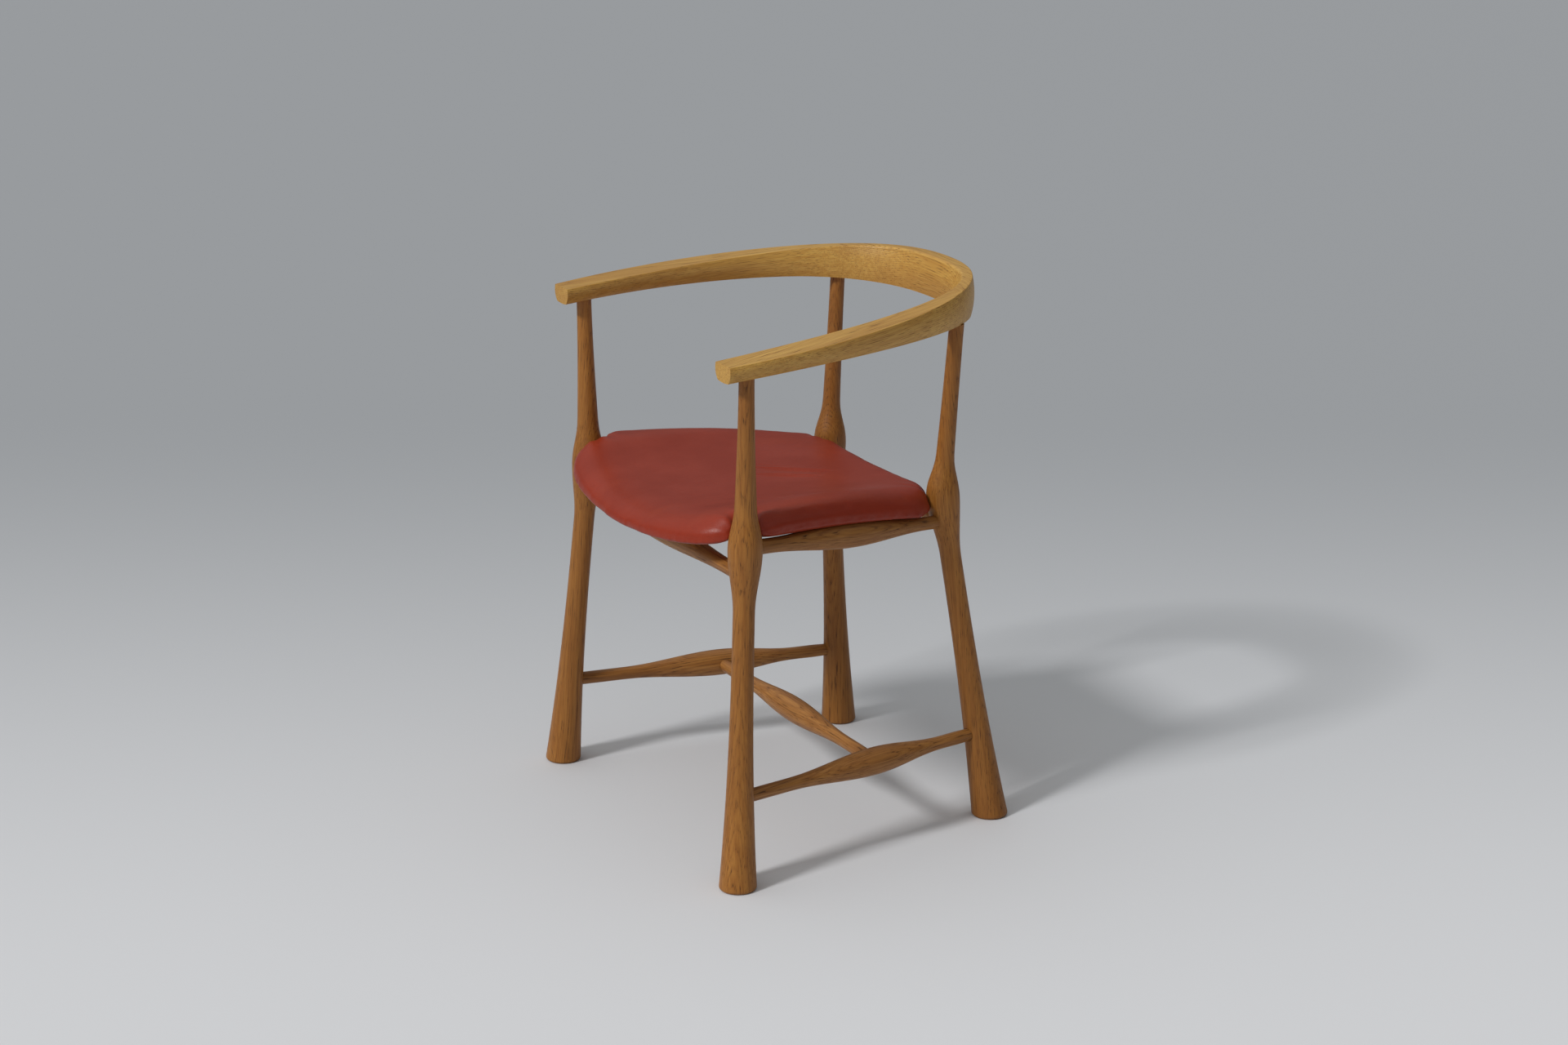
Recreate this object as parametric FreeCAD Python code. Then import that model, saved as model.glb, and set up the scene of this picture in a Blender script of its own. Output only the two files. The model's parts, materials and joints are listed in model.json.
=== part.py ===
import FreeCAD, Part
import math
import os
from collections import namedtuple
from FreeCAD import Vector as V

os.makedirs("parts", exist_ok=True)

# Places of the legs, in millimetres, right-hand side as seen from the front
FRONT_FOOT_X = 253.0
FRONT_FOOT_Y = -203.0
FRONT_KNEE_X = 218.5
FRONT_KNEE_Y = -172.0
FRONT_TOP_X = 224.5
FRONT_TOP_Y = -172.5
REAR_FOOT_X = 200.0
REAR_FOOT_Y = 203.0
REAR_KNEE_X = 145.5
REAR_KNEE_Y = 155.0
REAR_TOP_X = 151.5
REAR_TOP_Y = 170.0

# Turned form of a leg
FOOT_D = 48.3
FOOT_EDGE_R = 4.0
FOOT_FLARE = 2.4
WAIST_Z = 352.0
WAIST_D = 27.5
KNEE_Z = 431.0
KNEE_D = 43.6
FRONT_NECK_Z = 490.0
FRONT_NECK_D = 27.5
REAR_NECK_Z = 489.0
REAR_NECK_D = 23.5
NECK_TAPER = 1.7
LEG_TOP_D = 19.4
KNEE_BEND = 30.0
LEG_SLICES = 40

# Round tenon on the top of a leg, in its blind bore under the arm
TENON_D = 14.0
TENON_L = 15.0
GLUE_GAP = 0.1

# Bow of the arms and back: plan of its top edges, heights and widths
BOW_FRONT_Y = -205.0
BOW_FRONT_OUT_X = 243.0
BOW_FRONT_IN_X = 206.0
BOW_SIDE_OUT_X = 267.0
BOW_SIDE_OUT_Y = 32.0
BOW_SIDE_IN_X = 207.0
BOW_SIDE_IN_Y = 20.0
BOW_TURN_OUT_X = 175.0
BOW_TURN_OUT_Y = 219.0
BOW_TURN_IN_X = 174.0
BOW_TURN_IN_Y = 212.0
BOW_BACK_OUT_X = 89.0
BOW_BACK_OUT_Y = 251.0
BOW_BACK_IN_X = 91.0
BOW_BACK_IN_Y = 230.0
BOW_TOP_FRONT_Z = 672.0
BOW_TOP_BACK_Z = 708.0
BOW_FRONT_DEPTH = 22.5
BOW_HIGH_DEPTH = 36.5
BOW_HIGH_Y = 105.0
BOW_BACK_DEPTH = 55.5
BOW_KEEL_ROUND = 1.0
BOW_ARM_KEEL = 13.0
BOW_BACK_KEEL_OUT = 6.5
BOW_BACK_KEEL_IN = 15.0
BOW_ARM_BULGE = 3.0
BOW_BACK_BULGE = 3.0
BOW_BULGE_PLACE = 0.55
BOW_EDGE_R = 1.2
BOW_BACK_IN_EDGE_R = 5.0
BOW_BLEND_START = 0.35
BOW_BLEND_END = 0.80
BOW_SLICES = 16

# Finger joints between the arms and the back
JOINT_T = 0.51
FINGER_COUNT = 9
FINGER_L = 20.0

# Stretchers near the floor
STRETCHER_END_D = 17.0
STRETCHER_MID_D = 35.5
SIDE_STRETCHER_FRONT_Z = 116.5
SIDE_STRETCHER_REAR_Z = 113.0
CROSS_PLACE = 0.555
CROSS_END_D = 17.0
CROSS_MID_D = 33.0

# Seat rails
SIDE_RAIL_FRONT_Z = 433.0
SIDE_RAIL_REAR_Z = 398.5
SIDE_RAIL_FRONT_D = 19.4
SIDE_RAIL_REAR_D = 17.0
SIDE_RAIL_MID_D = 34.5
FRONT_RAIL_Z = 398.0
FRONT_RAIL_END_D = 19.0
FRONT_RAIL_MID_D = 33.0
REAR_RAIL_Z = 396.0
REAR_RAIL_END_D = 15.0
REAR_RAIL_MID_D = 22.0
SOCKET_DEPTH = 11.0
REAR_SOCKET_DEPTH = 8.0
CROSS_SOCKET_DEPTH = 10.0
RAIL_SWELL_REACH = 0.42
STRETCHER_SWELL_REACH = 0.33
ROD_SLICES = 16

# Seat: a moulded board, its padding and a leather cover, spread like a fan
FAN_Y = 1043.0
SEAT_HALF_ANGLE = 10.76
SEAT_FRONT_Y = -243.0
SEAT_FRONT_SWEEP = 14.0
SEAT_FRONT_CORNER = 78.0
SEAT_REAR_Y = 146.0
SEAT_REAR_SWEEP = 4.0
SEAT_REAR_CORNER = 66.0
SEAT_FRONT_Z = 430.5
SEAT_FRONT_RISE = 28.0
SEAT_MIDDLE_Z = 431.0
SEAT_MIDDLE_RISE = 17.0
SEAT_REAR_Z = 424.0
SEAT_REAR_RISE = 9.0
SEAT_THICK = 28.0
SEAT_SIDE_FULL = 5.0
SEAT_ROLL = 11.0
SEAT_SIDE_FLAT = 0.7
SEAT_CORNER_POWER = 8
COVER_T = 1.5
BOARD_T = 9.0
BOARD_LOW = 2 * COVER_T - SEAT_THICK / 2
TURN_UNDER = 30.0
SEAT_SLICES = 7
ROLL_SLICES = 4
NOTCH_GAP = 2.8

# Screws up through the swells of the rails into the board
SCREW_D = 4.0
SCREW_HEAD_D = 8.0
SCREW_HEAD_T = 2.6
SCREW_BITE = 7.0
SCREW_SINK = 12.0


def blend(a, b, t):
    return a + (b - a) * t


def ease(t):
    t = min(1.0, max(0.0, t))
    return 0.5 - 0.5 * math.cos(math.pi * t)


def mirrored(shape):
    return shape.mirror(V(0, 0, 0), V(1, 0, 0))


# Legs: a bent centre line and a turned profile
Leg = namedtuple("Leg", "foot knee top neck_z neck_d")


def leg_diameter(leg, z):
    if z < WAIST_Z:
        return blend(FOOT_D, WAIST_D, 1 - (1 - z / WAIST_Z) ** FOOT_FLARE)
    if z < KNEE_Z:
        return blend(WAIST_D, KNEE_D, ease((z - WAIST_Z) / (KNEE_Z - WAIST_Z)))
    if z < leg.neck_z:
        return blend(KNEE_D, leg.neck_d, ease((z - KNEE_Z) / (leg.neck_z - KNEE_Z)))
    rise = min(1.0, (z - leg.neck_z) / (leg.top.z - leg.neck_z))
    return blend(leg.neck_d, LEG_TOP_D, 1 - (1 - rise) ** NECK_TAPER)


def leg_axis(leg, z):
    foot, knee, top = leg.foot, leg.knee, leg.top
    low = foot + (knee - foot) * (z / knee.z)
    high = knee + (top - knee) * ((z - knee.z) / (top.z - knee.z))
    s = min(1.0, max(0.0, (z - knee.z + KNEE_BEND) / (2 * KNEE_BEND)))
    if 0 < s < 1:
        start = foot + (knee - foot) * ((knee.z - KNEE_BEND) / knee.z)
        end = knee + (top - knee) * (KNEE_BEND / (top.z - knee.z))
        return start * (1 - s) ** 2 + knee * (2 * s * (1 - s)) + end * s ** 2
    return low if s <= 0 else high


def ring(centre, diameter, axis=V(0, 0, 1)):
    return Part.Wire(Part.makeCircle(diameter / 2, centre, axis))


def make_leg(leg):
    heights = [leg.top.z * i / LEG_SLICES for i in range(LEG_SLICES + 1)]
    rings = [ring(leg_axis(leg, z), leg_diameter(leg, z)) for z in heights]
    body = Part.makeLoft(rings, True, False)
    floor_edge = min(body.Edges, key=lambda e: e.CenterOfMass.z)
    body = body.makeFillet(FOOT_EDGE_R, [floor_edge])
    tenon = Part.makeCylinder(TENON_D / 2, TENON_L + FOOT_EDGE_R, leg.top - V(0, 0, FOOT_EDGE_R))
    return body.fuse(tenon)


# Rods: turned rails and stretchers, thin at the ends and full in the middle
def make_rod(start, end, start_d, mid_d, end_d, full_at, spread):
    axis = end - start
    rings = []
    for i in range(ROD_SLICES + 1):
        t = i / ROD_SLICES
        reach = spread * 2 * (full_at if t < full_at else 1 - full_at)
        swell = ease(1 - abs(t - full_at) / reach)
        rings.append(ring(start + axis * t, blend(blend(start_d, end_d, t), mid_d, swell), axis))
    return Part.makeLoft(rings, True, False)


# Bow: its section at a place t from the front end (0) to the middle of the back (1)
def bezier(points, t):
    n = len(points) - 1
    out = V(0, 0, 0)
    for i, p in enumerate(points):
        out += p * (math.comb(n, i) * t ** i * (1 - t) ** (n - i))
    return out


BOW_OUT = [V(BOW_FRONT_OUT_X, BOW_FRONT_Y), V(BOW_SIDE_OUT_X, BOW_SIDE_OUT_Y),
           V(BOW_TURN_OUT_X, BOW_TURN_OUT_Y), V(BOW_BACK_OUT_X, BOW_BACK_OUT_Y), V(0, BOW_BACK_OUT_Y)]
BOW_IN = [V(BOW_FRONT_IN_X, BOW_FRONT_Y), V(BOW_SIDE_IN_X, BOW_SIDE_IN_Y),
          V(BOW_TURN_IN_X, BOW_TURN_IN_Y), V(BOW_BACK_IN_X, BOW_BACK_IN_Y), V(0, BOW_BACK_IN_Y)]


def bow_top(y):
    return blend(BOW_TOP_FRONT_Z, BOW_TOP_BACK_Z, (y - BOW_FRONT_Y) / (BOW_BACK_OUT_Y - BOW_FRONT_Y))


def bow_low(y):
    """Height of the lower edge, which is highest between the legs and falls to both ends."""
    high = bow_top(BOW_HIGH_Y) - BOW_HIGH_DEPTH
    if y < BOW_HIGH_Y:
        s = (BOW_HIGH_Y - y) / (BOW_HIGH_Y - BOW_FRONT_Y)
        return blend(high, BOW_TOP_FRONT_Z - BOW_FRONT_DEPTH, s ** 2)
    s = (y - BOW_HIGH_Y) / (BOW_BACK_OUT_Y - BOW_HIGH_Y)
    return blend(high, BOW_TOP_BACK_Z - BOW_BACK_DEPTH, s ** 2)


def bow_frame(t):
    outer = bezier(BOW_OUT, t)
    inner = bezier(BOW_IN, t)
    middle = (outer + inner) * 0.5
    return middle, (outer - inner).normalize(), (outer - inner).Length / 2


def bow_section(t):
    middle, out, half = bow_frame(t)
    top = bow_top(middle.y)
    low = bow_low(middle.y)
    s = ease((t - BOW_BLEND_START) / (BOW_BLEND_END - BOW_BLEND_START))
    keel_out = blend(BOW_ARM_KEEL, BOW_BACK_KEEL_OUT, s)
    keel_in = blend(BOW_ARM_KEEL, BOW_BACK_KEEL_IN, s)
    bulge = blend(BOW_ARM_BULGE, BOW_BACK_BULGE, s)
    edge = BOW_EDGE_R
    soft_edge = blend(BOW_EDGE_R, BOW_BACK_IN_EDGE_R, s)
    bulge_z = top - (top - low) * BOW_BULGE_PLACE
    keel_z = low + BOW_KEEL_ROUND

    def at(across, z):
        p = middle + out * across
        return V(p.x, p.y, z)

    def arc(a, b, c):
        return Part.Arc(at(*a), at(*b), at(*c)).toShape()

    cut = edge * (1 - math.sqrt(0.5))
    soft_cut = soft_edge * (1 - math.sqrt(0.5))
    outer_mid = blend(half, keel_out, 0.5) + bulge
    inner_mid = blend(half, keel_in, 0.5) + bulge
    return Part.Wire([
        Part.LineSegment(at(-half + soft_edge, top), at(half - edge, top)).toShape(),
        arc((half - edge, top), (half - cut, top - cut), (half, top - edge)),
        arc((half, top - edge), (outer_mid, bulge_z), (keel_out, keel_z)),
        arc((keel_out, keel_z), ((keel_out - keel_in) / 2, low), (-keel_in, keel_z)),
        arc((-keel_in, keel_z), (-inner_mid, bulge_z), (-half, top - soft_edge)),
        arc((-half, top - soft_edge), (-half + soft_cut, top - soft_cut), (-half + soft_edge, top)),
    ])


def make_half_bow():
    places = [i / BOW_SLICES for i in range(BOW_SLICES + 1)]
    return Part.makeLoft([bow_section(t) for t in places], True, False)


def arm_space():
    """Space of one arm up to its joint, and the arm's fingers that reach past it."""
    middle, out, half = bow_frame(JOINT_T)
    along = V(-out.y, out.x, 0)
    reach = 4 * BOW_SIDE_OUT_X
    tall = BOW_TOP_FRONT_Z + BOW_TOP_BACK_Z
    placed = FreeCAD.Placement(FreeCAD.Matrix(along.x, -out.x, 0, middle.x, along.y, -out.y, 0, middle.y,
                                              0, 0, 1, 0, 0, 0, 0, 1))
    arm = Part.makeBox(reach, 2 * reach, tall, V(-reach, -reach, 0))
    arm.Placement = placed
    shapes = [arm.common(Part.makeBox(reach, 2 * reach, tall, V(0, -reach, 0)))]
    low = bow_low(middle.y)
    finger_h = (bow_top(middle.y) - low) / FINGER_COUNT
    for i in range(0, FINGER_COUNT, 2):
        base = low + i * finger_h if i else 0
        top = low + (i + 1) * finger_h if i + 1 < FINGER_COUNT else tall
        finger = Part.makeBox(FINGER_L, 8 * half, top - base, V(0, -4 * half, base))
        finger.Placement = placed
        shapes.append(finger)
    return shapes[0].fuse(shapes[1:])


# Seat: planar sections in upright planes that fan out from a point behind the chair
def seat_line(a):
    """Radii of the front and rear edges, and the heights of the middle layer at three radii."""
    corner = a ** SEAT_CORNER_POWER
    front = FAN_Y - SEAT_FRONT_Y - SEAT_FRONT_SWEEP * a ** 2 - SEAT_FRONT_CORNER * corner
    rear = FAN_Y - SEAT_REAR_Y + SEAT_REAR_SWEEP * a ** 2 + SEAT_REAR_CORNER * corner
    heights = (SEAT_FRONT_Z + SEAT_FRONT_RISE * a * a, SEAT_MIDDLE_Z + SEAT_MIDDLE_RISE * a * a,
               SEAT_REAR_Z + SEAT_REAR_RISE * a * a)
    return front, rear, heights


def seat_height(x, y):
    """Height of the seat's middle layer over a point of the plan."""
    a = math.degrees(math.atan2(x, FAN_Y - y)) / SEAT_HALF_ANGLE
    front, rear, (front_z, middle_z, rear_z) = seat_line(a)
    s = (front - math.hypot(x, FAN_Y - y)) / (front - rear)
    return front_z * (1 - s) * (1 - 2 * s) + middle_z * 4 * s * (1 - s) + rear_z * s * (2 * s - 1)


def seat_section(a, inset, low, high):
    """Closed section of a layer that lies from low to high about the middle layer."""
    front, rear, (front_z, middle_z, rear_z) = seat_line(a)
    edge_radius = (front + rear) / 2
    side = math.radians(SEAT_HALF_ANGLE) * (1 - abs(a)) * edge_radius
    roll = SEAT_ROLL * (high - low) / SEAT_THICK
    thin = math.sqrt(1 - (1 - min(1.0, (side + SEAT_SIDE_FLAT) / SEAT_ROLL)) ** 2)
    angle = math.radians(SEAT_HALF_ANGLE) * a * (1 - inset / (math.radians(SEAT_HALF_ANGLE) * edge_radius))
    roll = roll * thin
    front = front - inset
    rear = rear + inset
    board_top = BOARD_LOW + BOARD_T
    full = SEAT_SIDE_FULL * a * a * max(0.0, high - board_top) / (SEAT_THICK / 2 - board_top)
    centre = (low + high) / 2
    half = (high - low) / 2 * thin
    full = full * thin

    def at(radius, z):
        return V(radius * math.sin(angle), FAN_Y - radius * math.cos(angle), z)

    def arc(a, b, c):
        return Part.Arc(a, b, c).toShape()

    top = [at(front - roll, front_z + centre + half + full),
           at(edge_radius, middle_z + centre + half + full),
           at(rear + roll, rear_z + centre + half)]
    base = [at(rear + roll, rear_z + centre - half),
            at(edge_radius, middle_z + centre - half),
            at(front - roll, front_z + centre - half)]
    return Part.Wire([
        arc(top[0], top[1], top[2]),
        arc(top[2], at(rear, rear_z + centre), base[0]),
        arc(base[0], base[1], base[2]),
        arc(base[2], at(front, front_z + centre), top[0]),
    ])


def seat_places():
    """Places across the seat: even steps, with closer ones over the rolled sides."""
    roll = SEAT_ROLL / (math.radians(SEAT_HALF_ANGLE) * (FAN_Y - (SEAT_FRONT_Y + SEAT_REAR_Y) / 2))
    inner = [(1 - roll) * i / SEAT_SLICES for i in range(SEAT_SLICES + 1)]
    outer = [1 - roll + roll * math.sin(math.pi / 2 * i / ROLL_SLICES) for i in range(1, ROLL_SLICES + 1)]
    half = inner + outer
    return [-a for a in reversed(half[1:])] + half


def notch_cutters(extra):
    """Room for the knees of the legs, which stand through the seat's four corners."""
    tall = 4 * SEAT_THICK
    base = SEAT_REAR_Z - tall / 2
    radius = KNEE_D / 2 + NOTCH_GAP + extra
    knees = [V(FRONT_KNEE_X, FRONT_KNEE_Y, base), V(REAR_KNEE_X, REAR_KNEE_Y, base)]
    cutters = [Part.makeCylinder(radius, tall, p) for p in knees]
    return cutters + [mirrored(c) for c in cutters]


def seat_form(inset, low, high, notch):
    form = Part.makeLoft([seat_section(a, inset, low, high) for a in seat_places()], True, False)
    return form.cut(notch_cutters(notch))


def build():
    parts = {}
    # Legs on the right, mirrored to the left once their sockets are cut
    front_top = V(FRONT_TOP_X, FRONT_TOP_Y, bow_low(FRONT_TOP_Y) + BOW_KEEL_ROUND)
    rear_top = V(REAR_TOP_X, REAR_TOP_Y, bow_low(REAR_TOP_Y) + BOW_KEEL_ROUND)
    front = Leg(V(FRONT_FOOT_X, FRONT_FOOT_Y, 0), V(FRONT_KNEE_X, FRONT_KNEE_Y, KNEE_Z), front_top,
                FRONT_NECK_Z, FRONT_NECK_D)
    rear = Leg(V(REAR_FOOT_X, REAR_FOOT_Y, 0), V(REAR_KNEE_X, REAR_KNEE_Y, KNEE_Z), rear_top,
               REAR_NECK_Z, REAR_NECK_D)
    front_leg = make_leg(front)
    rear_leg = make_leg(rear)

    def on_leg(leg, z):
        return leg_axis(leg, z), leg_diameter(leg, z) / 2

    def across(point):
        return V(-point.x, point.y, point.z)

    # Rods between the legs, each with a bore for each of its ends
    def rod(p, p_r, q, q_r, p_d, mid_d, q_d, depth, spread=RAIL_SWELL_REACH, full_at=0.5):
        along = (q - p).normalize()
        start = p + along * (p_r - depth)
        end = q - along * (q_r - depth)
        bores = [Part.makeCylinder(p_d / 2 + GLUE_GAP, FOOT_D, start - along * GLUE_GAP, along),
                 Part.makeCylinder(q_d / 2 + GLUE_GAP, FOOT_D, end + along * GLUE_GAP, along * -1)]
        return make_rod(start, end, p_d, mid_d, q_d, full_at, spread), bores

    p, p_r = on_leg(front, SIDE_STRETCHER_FRONT_Z)
    q, q_r = on_leg(rear, SIDE_STRETCHER_REAR_Z)
    stretcher, bores = rod(p, p_r, q, q_r, STRETCHER_END_D, STRETCHER_MID_D, STRETCHER_END_D, SOCKET_DEPTH,
                           STRETCHER_SWELL_REACH, CROSS_PLACE)
    front_leg = front_leg.cut(bores[0])
    rear_leg = rear_leg.cut(bores[1])
    cross = blend(p, q, CROSS_PLACE)
    mid_r = STRETCHER_MID_D / 2
    parts["cross_stretcher"], bores = rod(across(cross), mid_r, cross, mid_r, CROSS_END_D, CROSS_MID_D,
                                          CROSS_END_D, CROSS_SOCKET_DEPTH, STRETCHER_SWELL_REACH)
    stretcher = stretcher.cut(bores[1])

    p, p_r = on_leg(front, SIDE_RAIL_FRONT_Z)
    q, q_r = on_leg(rear, SIDE_RAIL_REAR_Z)
    side_middle = (p + q) * 0.5
    side_rail, bores = rod(p, p_r, q, q_r, SIDE_RAIL_FRONT_D, SIDE_RAIL_MID_D, SIDE_RAIL_REAR_D,
                           SOCKET_DEPTH)
    front_leg = front_leg.cut(bores[0])
    rear_leg = rear_leg.cut(bores[1])
    p, p_r = on_leg(front, FRONT_RAIL_Z)
    front_middle = V(0, p.y, p.z)
    front_rail, bores = rod(across(p), p_r, p, p_r, FRONT_RAIL_END_D, FRONT_RAIL_MID_D, FRONT_RAIL_END_D,
                            SOCKET_DEPTH)
    front_leg = front_leg.cut(bores[1])
    p, p_r = on_leg(rear, REAR_RAIL_Z)
    rear_rail, bores = rod(across(p), p_r, p, p_r, REAR_RAIL_END_D, REAR_RAIL_MID_D, REAR_RAIL_END_D,
                           REAR_SOCKET_DEPTH)
    rear_leg = rear_leg.cut(bores[1])

    # Bow of three pieces, bored for the tenons of the legs
    half_bow = make_half_bow()
    for top, leg in ((front_top, front_leg), (rear_top, rear_leg)):
        bore = Part.makeCylinder(TENON_D / 2 + GLUE_GAP, TENON_L + GLUE_GAP, top)
        half_bow = half_bow.cut([bore, leg])
    space = arm_space()
    parts["right_arm"] = half_bow.common(space)
    parts["left_arm"] = mirrored(parts["right_arm"])
    half_back = half_bow.cut(space)
    parts["back_rail"] = half_back.fuse(mirrored(half_back)).removeSplitter()

    # Seat layers
    top = SEAT_THICK / 2
    outer = seat_form(0, -top, top, 0)
    core = seat_form(COVER_T, -top + COVER_T, top - COVER_T, COVER_T)
    board = seat_form(SEAT_ROLL, BOARD_LOW, BOARD_LOW + BOARD_T, 2 * COVER_T)
    window = seat_form(TURN_UNDER, -2 * top, BOARD_LOW + BOARD_T / 2, TURN_UNDER / 2)
    cover = outer.cut([core, window, board])
    padding = core.cut([board, window])

    # Screws, and their holes in the rails and the board
    screws = []
    rails = {"side": side_rail, "front": front_rail}
    middles = {"side": (side_middle, SIDE_RAIL_MID_D), "front": (front_middle, FRONT_RAIL_MID_D)}
    beds = [side_rail, mirrored(side_rail), front_rail]
    holes = []
    for name, (middle, diameter) in middles.items():
        head = V(middle.x, middle.y, middle.z - diameter / 2 + SCREW_SINK - SCREW_HEAD_T)
        tip = seat_height(middle.x, middle.y) + BOARD_LOW + SCREW_BITE
        screw = Part.makeCylinder(SCREW_HEAD_D / 2, SCREW_HEAD_T, head)
        screw = screw.fuse(Part.makeCylinder(SCREW_D / 2, tip - head.z, head))
        room = Part.makeCylinder(SCREW_D / 2 + GLUE_GAP, tip - head.z + GLUE_GAP, head)
        sunk = head + V(0, 0, SCREW_HEAD_T - SCREW_SINK)
        sink = Part.makeCylinder(SCREW_HEAD_D / 2 + GLUE_GAP, SCREW_SINK, sunk)
        rails[name] = rails[name].cut([room, sink])
        screws.append(screw)
        holes.append(room)
        if name == "side":
            screws.append(mirrored(screw))
            holes.append(mirrored(room))
    cover = cover.cut(beds + holes)
    padding = padding.cut(beds + holes)
    board = board.cut(beds + holes)
    parts["front_right_leg"] = front_leg
    parts["front_left_leg"] = mirrored(front_leg)
    parts["rear_right_leg"] = rear_leg
    parts["rear_left_leg"] = mirrored(rear_leg)
    parts["right_stretcher"] = stretcher
    parts["left_stretcher"] = mirrored(stretcher)
    parts["right_rail"] = rails["side"]
    parts["left_rail"] = mirrored(rails["side"])
    parts["front_rail"] = rails["front"]
    parts["rear_rail"] = rear_rail
    parts["seat_board"] = board
    parts["seat_padding"] = padding
    parts["seat_cover"] = cover
    parts["seat_screws"] = Part.makeCompound(screws)
    return parts


# Every piece moves by the same step, so that the part stands centred over the origin
middle, out, half = bow_frame(1.0)
bow_back_y = middle.y + blend(half, BOW_BACK_KEEL_OUT, 0.5) + BOW_BACK_BULGE
centre_y = (SEAT_FRONT_Y + bow_back_y) / 2
for node, shape in build().items():
    shape.translate(V(0, -centre_y, 0))
    volume = round(shape.Volume / 1000, 1)
    print(node, shape.ShapeType, shape.isValid(), len(shape.Solids), len(shape.Faces), volume)
    shape.exportStep("parts/" + node + ".step")
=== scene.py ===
"""Desk chair of turned oak with a horseshoe rail and a leather saddle seat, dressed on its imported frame."""
from __future__ import annotations

import json
import logging
import math
from dataclasses import dataclass
from enum import Enum
from typing import Any

import bmesh
import bpy
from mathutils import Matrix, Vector
from mathutils.bvhtree import BVHTree

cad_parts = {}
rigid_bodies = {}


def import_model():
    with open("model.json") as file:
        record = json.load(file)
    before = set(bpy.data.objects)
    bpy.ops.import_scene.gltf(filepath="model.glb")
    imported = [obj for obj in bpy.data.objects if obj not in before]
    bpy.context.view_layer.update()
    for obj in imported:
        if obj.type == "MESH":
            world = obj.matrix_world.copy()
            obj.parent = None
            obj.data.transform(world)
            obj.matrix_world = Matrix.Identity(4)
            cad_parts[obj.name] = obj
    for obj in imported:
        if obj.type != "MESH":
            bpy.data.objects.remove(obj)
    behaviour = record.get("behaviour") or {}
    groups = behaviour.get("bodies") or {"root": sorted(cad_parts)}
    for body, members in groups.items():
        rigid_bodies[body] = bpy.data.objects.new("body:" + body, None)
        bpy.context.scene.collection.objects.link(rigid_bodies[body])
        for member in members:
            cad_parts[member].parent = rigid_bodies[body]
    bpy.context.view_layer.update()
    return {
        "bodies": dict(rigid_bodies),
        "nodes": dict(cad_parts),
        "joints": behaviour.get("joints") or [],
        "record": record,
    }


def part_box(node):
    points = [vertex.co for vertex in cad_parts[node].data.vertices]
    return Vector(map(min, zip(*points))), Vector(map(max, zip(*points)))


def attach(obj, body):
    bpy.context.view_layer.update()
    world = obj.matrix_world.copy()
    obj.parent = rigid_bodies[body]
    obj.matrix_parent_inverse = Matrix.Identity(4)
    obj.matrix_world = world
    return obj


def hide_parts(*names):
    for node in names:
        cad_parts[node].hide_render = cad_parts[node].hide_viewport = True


LOG = logging.getLogger("desk_chair")
Colour = tuple[float, float, float, float]
Point = tuple[float, float, float]
Pairs = tuple[tuple[float, float], ...]

# Turn of the camera about the upright axis, in degrees
VIEW_YAW = 60.967


def screen_colour(red: int, green: int, blue: int) -> Colour:
    """Turns a colour as seen on a screen into the linear colour that shaders use.

    Args:
        red: Red from 0 to 255.
        green: Green from 0 to 255.
        blue: Blue from 0 to 255.

    Returns:
        The linear colour with full alpha.
    """
    linear = []
    for level in (red, green, blue):
        share = level / 255
        linear.append(share / 12.92 if share <= 0.04045 else ((share + 0.055) / 1.055) ** 2.4)
    return (linear[0], linear[1], linear[2], 1.0)


def blend(first: float, second: float, share: float) -> float:
    """Goes a share of the way from one value to another.

    Args:
        first: Value at share 0.
        second: Value at share 1.
        share: Share of the way.

    Returns:
        The value there.
    """
    return first + (second - first) * share


def held(share: float) -> float:
    """Holds a value between 0 and 1.

    Args:
        share: Any value.

    Returns:
        The nearest value from 0 to 1.
    """
    return min(1.0, max(0.0, share))


def ease(share: float) -> float:
    """Makes a share start and stop gently.

    Args:
        share: Any value; it is held between 0 and 1.

    Returns:
        The eased share.
    """
    share = held(share)
    return share * share * (3 - 2 * share)


def rounded(share: float) -> float:
    """Follows a quarter round, 0 at its foot and 1 from its end on.

    Args:
        share: Place along the round, from 0 to 1.

    Returns:
        The height there.
    """
    return math.sqrt(1 - (1 - held(share)) ** 2)


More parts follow.
